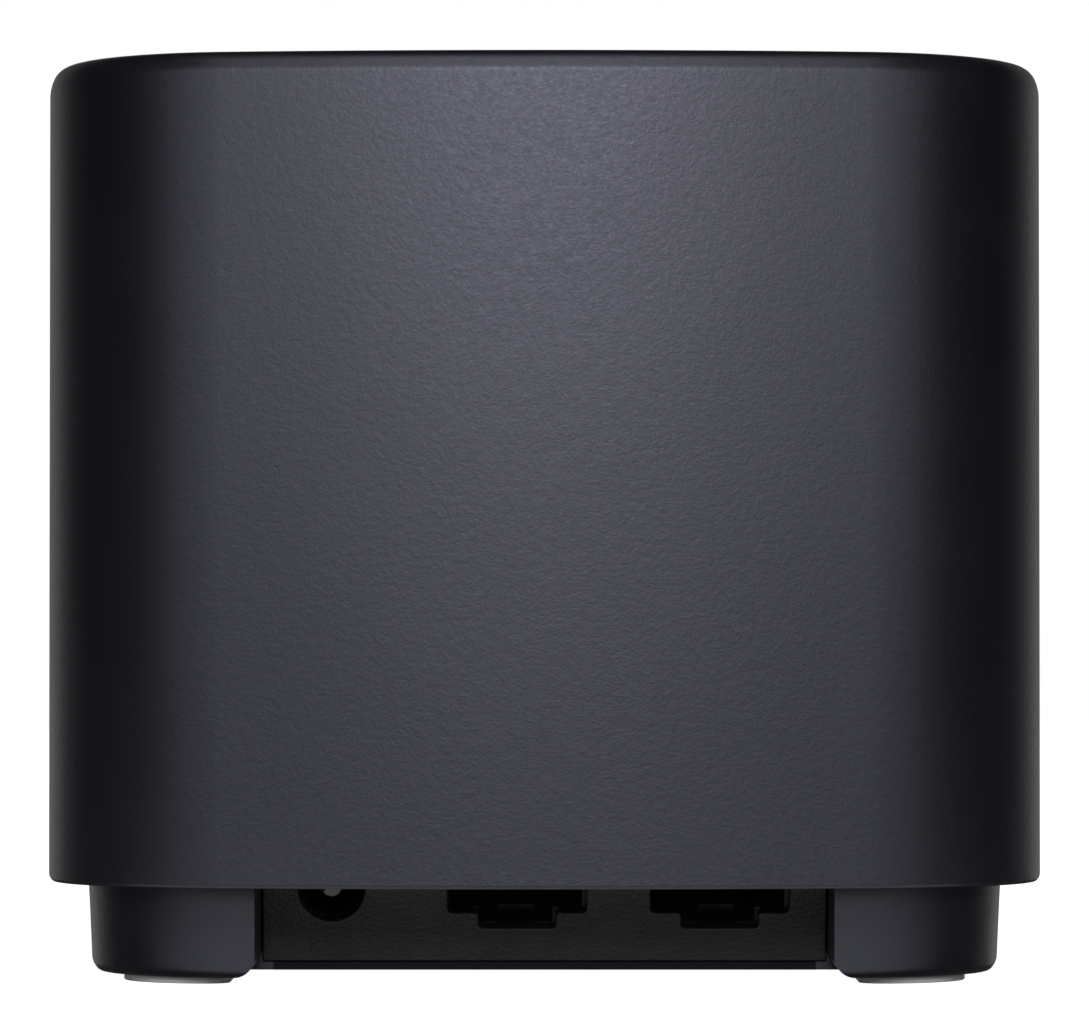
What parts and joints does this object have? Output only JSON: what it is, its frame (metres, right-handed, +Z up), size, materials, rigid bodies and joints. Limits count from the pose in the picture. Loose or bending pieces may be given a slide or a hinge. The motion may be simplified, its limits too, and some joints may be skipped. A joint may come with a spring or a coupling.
{
  "type": "mesh wifi node",
  "caption": "Small rounded cube network node with a smooth one-piece cover, recessed rear port bay with two RJ45 sockets and a barrel power socket, and an underside pairing key.",
  "frame": {"origin": "centre of the plan at the table surface, under the foot pads", "axes": "+Z up, +Y towards the ports (rear), -Y towards the status light (front)"},
  "size_m": [0.09, 0.09, 0.08],
  "materials": {
    "shell_plastic": "dark blue-grey moulded plastic, very fine satin grain",
    "base_plastic": "dark blue-grey moulded plastic, fine satin grain",
    "panel_plastic": "near-black moulded plastic with a coarse leather-like texture",
    "foot_rubber": "light grey translucent silicone rubber",
    "label_film": "plain matt printed film, blank",
    "key_plastic": "dark grey matt plastic key cap",
    "zinc_steel": "zinc-plated steel screws",
    "green_board": "glass-epoxy circuit board with solder mask",
    "black_resin": "black moulded resin",
    "plunger_plastic": "red switch plunger",
    "thermal_rubber": "soft blue thermal pad",
    "cast_aluminium": "extruded aluminium, clear anodised",
    "white_nylon": "natural white nylon",
    "tinned_steel": "tin-plated pressed steel",
    "can_aluminium": "aluminium capacitor can",
    "ferrite": "sintered ferrite",
    "jack_plastic": "black moulded connector plastic",
    "gold_contact": "gold-plated spring contact",
    "nickel_pin": "nickel-plated brass",
    "clear_pipe": "clear light pipe",
    "cable_jacket": "thin black coaxial cable jacket"
  },
  "bodies": {
    "root": {"antenna_board_left": "green_board", "antenna_board_right": "green_board", "antenna_cable_left": "cable_jacket", "antenna_cable_right": "cable_jacket", "antenna_carrier": "black_resin", "base_housing": "base_plastic", "button_board": "green_board", "button_board_screws": "zinc_steel", "casing_screws": "zinc_steel", "coax_plug_left": "gold_contact", "coax_plug_right": "gold_contact", "ethernet_transformers": "black_resin", "flash_chip": "black_resin", "flex_cable": "white_nylon", "flex_connector_io": "white_nylon", "flex_connector_main": "white_nylon", "foot_pad_front_left": "foot_rubber", "foot_pad_front_right": "foot_rubber", "foot_pad_rear_left": "foot_rubber", "foot_pad_rear_right": "foot_rubber", "heatsink": "cast_aluminium", "heatsink_push_pins": "white_nylon", "io_board": "green_board", "io_board_screws": "zinc_steel", "light_pipe": "clear_pipe", "main_board": "green_board", "main_board_screws": "zinc_steel", "memory_chip": "black_resin", "pair_switch_body": "black_resin", "port_panel": "panel_plastic", "power_capacitors": "can_aluminium", "power_inductors": "ferrite", "power_jack_housing": "jack_plastic", "power_jack_pin": "nickel_pin", "power_jack_spring": "nickel_pin", "processor_chip": "black_resin", "radio_chips": "black_resin", "radio_shield": "tinned_steel", "rating_label": "label_film", "reset_switch_body": "black_resin", "rj45_contacts_lan": "gold_contact", "rj45_contacts_wan": "gold_contact", "rj45_housing_lan": "jack_plastic", "rj45_housing_wan": "jack_plastic", "status_led": "white_nylon", "thermal_pad": "thermal_rubber", "top_shell": "shell_plastic"},
    "pair_button": {"pair_button": "key_plastic"},
    "pair_plunger": {"pair_switch_plunger": "plunger_plastic"},
    "reset_plunger": {"reset_switch_plunger": "plunger_plastic"}
  },
  "joints": [
    {"name": "pair_button_press", "type": "slide", "parent": "root", "child": "pair_button", "axis": [0, 0, 1], "range_m": [0, 0.0005], "stiffness_N_per_m": 1600, "springref_m": -0.0003},
    {"name": "pair_plunger_press", "type": "slide", "parent": "root", "child": "pair_plunger", "axis": [0, 0, 1], "range_m": [0, 0.0005]},
    {"name": "reset_plunger_press", "type": "slide", "parent": "root", "child": "reset_plunger", "axis": [0, 0, 1], "range_m": [0, 0.0003], "stiffness_N_per_m": 1500, "springref_m": -0.0002}
  ],
  "couplings": [
    {"joint": "pair_plunger_press", "follows": "pair_button_press", "ratio": 1}
  ]
}
